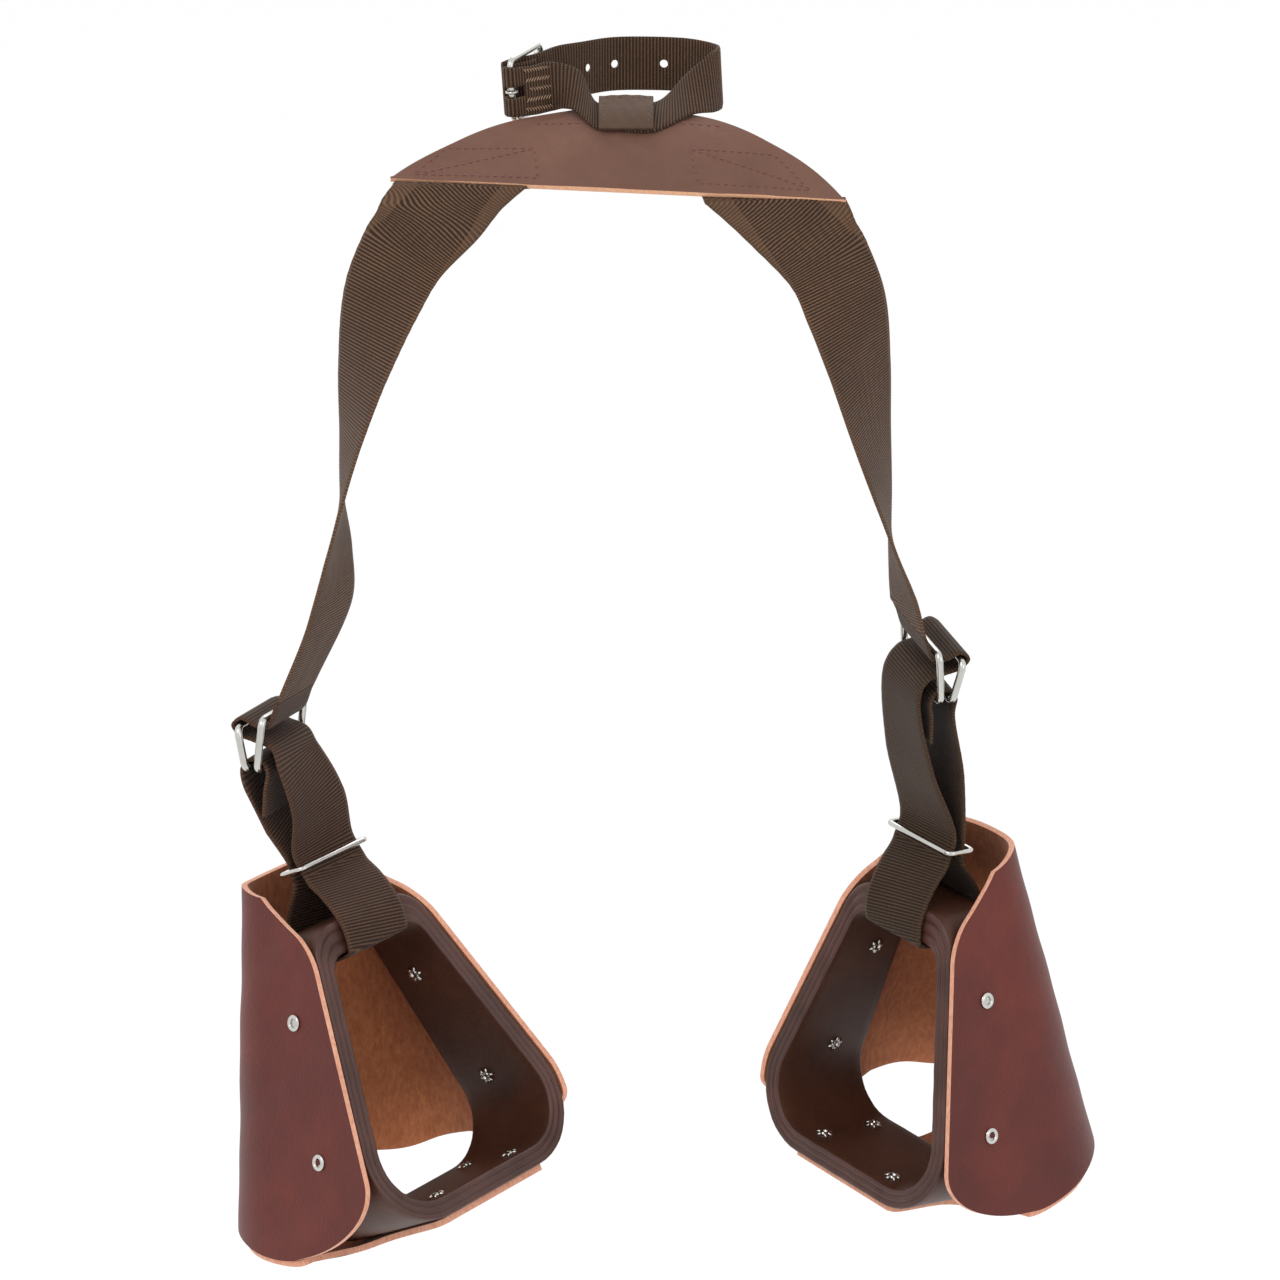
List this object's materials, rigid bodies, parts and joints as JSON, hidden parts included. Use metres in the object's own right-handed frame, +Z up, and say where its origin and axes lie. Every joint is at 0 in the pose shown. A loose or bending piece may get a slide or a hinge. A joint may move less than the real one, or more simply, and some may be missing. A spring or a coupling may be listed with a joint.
{
  "type": "hooded buddy stirrups",
  "caption": "Two small hooded leather stirrups hung on adjustable webbing straps from a leather yoke that buckles round a saddle horn.",
  "frame": {"origin": "inside the horn loop, at mid height of its upright strap", "axes": "+X across the saddle towards the right stirrup in the picture, +Y towards the toes of the hoods, +Z up"},
  "size_m": [0.4605, 0.3025, 0.6376],
  "materials": {
    "webbing": "matt ribbed dark brown nylon webbing",
    "yoke_leather": "matt oiled brown leather with raw tan edges",
    "hood_leather": "reddish brown latigo leather, rough tan inside",
    "frame_covering": "dark brown leather covered strip with beaded edges",
    "nickel": "bright nickel plate"
  },
  "bodies": {
    "yoke": {"yoke_leather": "yoke_leather", "strap_root_left": "webbing", "strap_root_right": "webbing", "yoke_lining": "yoke_leather", "horn_strap_band": "yoke_leather", "horn_billet": "webbing", "horn_chape": "webbing", "buckle_frame": "nickel"},
    "roller": {"buckle_roller": "nickel"},
    "tongue": {"buckle_tongue": "nickel"},
    "leg_left": {"strap_upper_left": "webbing"},
    "hanger_left": {"strap_front_left": "webbing", "strap_back_left": "webbing"},
    "ring_outer_left": {"ring_outer_left": "nickel"},
    "ring_inner_left": {"ring_inner_left": "nickel"},
    "keeper_left": {"keeper_left": "nickel"},
    "stirrup_left": {"stirrup_frame_left": "frame_covering", "hood_left": "hood_leather", "hanger_bight_left": "webbing", "rivet_outer_upper_left": "nickel", "rivet_outer_lower_left": "nickel", "rivet_inner_upper_left": "nickel", "rivet_inner_lower_left": "nickel", "rivet_tread_1_left": "nickel", "rivet_tread_2_left": "nickel", "rivet_tread_3_left": "nickel"},
    "leg_right": {"strap_upper_right": "webbing"},
    "hanger_right": {"strap_front_right": "webbing", "strap_back_right": "webbing"},
    "ring_outer_right": {"ring_outer_right": "nickel"},
    "ring_inner_right": {"ring_inner_right": "nickel"},
    "keeper_right": {"keeper_right": "nickel"},
    "stirrup_right": {"stirrup_frame_right": "frame_covering", "hood_right": "hood_leather", "hanger_bight_right": "webbing", "rivet_outer_upper_right": "nickel", "rivet_outer_lower_right": "nickel", "rivet_inner_upper_right": "nickel", "rivet_inner_lower_right": "nickel", "rivet_tread_1_right": "nickel", "rivet_tread_2_right": "nickel", "rivet_tread_3_right": "nickel"}
  },
  "joints": [
    {"name": "roller_spin", "type": "hinge", "parent": "yoke", "child": "roller", "pos_m": [-0.037, 0.018, -0.0085], "axis": [-0.0598, -0.1217, 0.9908], "continuous": true},
    {"name": "tongue_pivot", "type": "hinge", "parent": "yoke", "child": "tongue", "pos_m": [-0.0515, -0.0115, -0.013], "axis": [-0.0598, -0.1217, 0.9908], "range_deg": [0, 4]},
    {"name": "leg_swing_left", "type": "hinge", "parent": "yoke", "child": "leg_left", "pos_m": [-0.077, -0.05, -0.0635], "axis": [1, 0, 0], "range_deg": [-35, 45]},
    {"name": "hanger_twist_left", "type": "hinge", "parent": "leg_left", "child": "hanger_left", "pos_m": [-0.16532, -0.02491, -0.324], "axis": [0, 0, 1], "range_deg": [-30, 30]},
    {"name": "ring_outer_pivot_left", "type": "hinge", "parent": "hanger_left", "child": "ring_outer_left", "pos_m": [-0.18098, -0.01885, -0.36], "axis": [0.361, 0.9326, 0], "range_deg": [-2, 2]},
    {"name": "ring_inner_pivot_left", "type": "hinge", "parent": "hanger_left", "child": "ring_inner_left", "pos_m": [-0.17502, -0.02116, -0.36], "axis": [0.361, 0.9326, 0], "range_deg": [-2.5, 0]},
    {"name": "keeper_slide_left", "type": "slide", "parent": "hanger_left", "child": "keeper_left", "axis": [-0.3823, 0.2036, 0.9013], "range_m": [-0.002, 0.006]},
    {"name": "stirrup_tilt_left", "type": "hinge", "parent": "hanger_left", "child": "stirrup_left", "pos_m": [-0.14984, -0.01823, -0.42151], "axis": [0.6326, 0.7686, 0.0947], "range_deg": [-25, 25]},
    {"name": "leg_swing_right", "type": "hinge", "parent": "yoke", "child": "leg_right", "pos_m": [0.079, -0.0505, -0.0675], "axis": [1, 0, 0], "range_deg": [-35, 45]},
    {"name": "hanger_twist_right", "type": "hinge", "parent": "leg_right", "child": "hanger_right", "pos_m": [0.15508, 0.02287, -0.29829], "axis": [0, 0, 1], "range_deg": [-30, 30]},
    {"name": "ring_outer_pivot_right", "type": "hinge", "parent": "hanger_right", "child": "ring_outer_right", "pos_m": [0.16857, 0.03523, -0.33355], "axis": [0.3218, -0.9252, -0.2011], "range_deg": [-2, 2]},
    {"name": "ring_inner_pivot_right", "type": "hinge", "parent": "hanger_right", "child": "ring_inner_right", "pos_m": [0.16252, 0.03313, -0.33355], "axis": [0.3218, -0.9252, -0.2011], "range_deg": [-2.5, 0]},
    {"name": "keeper_slide_right", "type": "slide", "parent": "hanger_right", "child": "keeper_right", "axis": [0.1439, -0.0403, 0.9888], "range_m": [-0.002, 0.006]},
    {"name": "stirrup_tilt_right", "type": "hinge", "parent": "hanger_right", "child": "stirrup_right", "pos_m": [0.16825, 0.05518, -0.43299], "axis": [0.6164, -0.778, -0.1214], "range_deg": [-25, 25]}
  ]
}
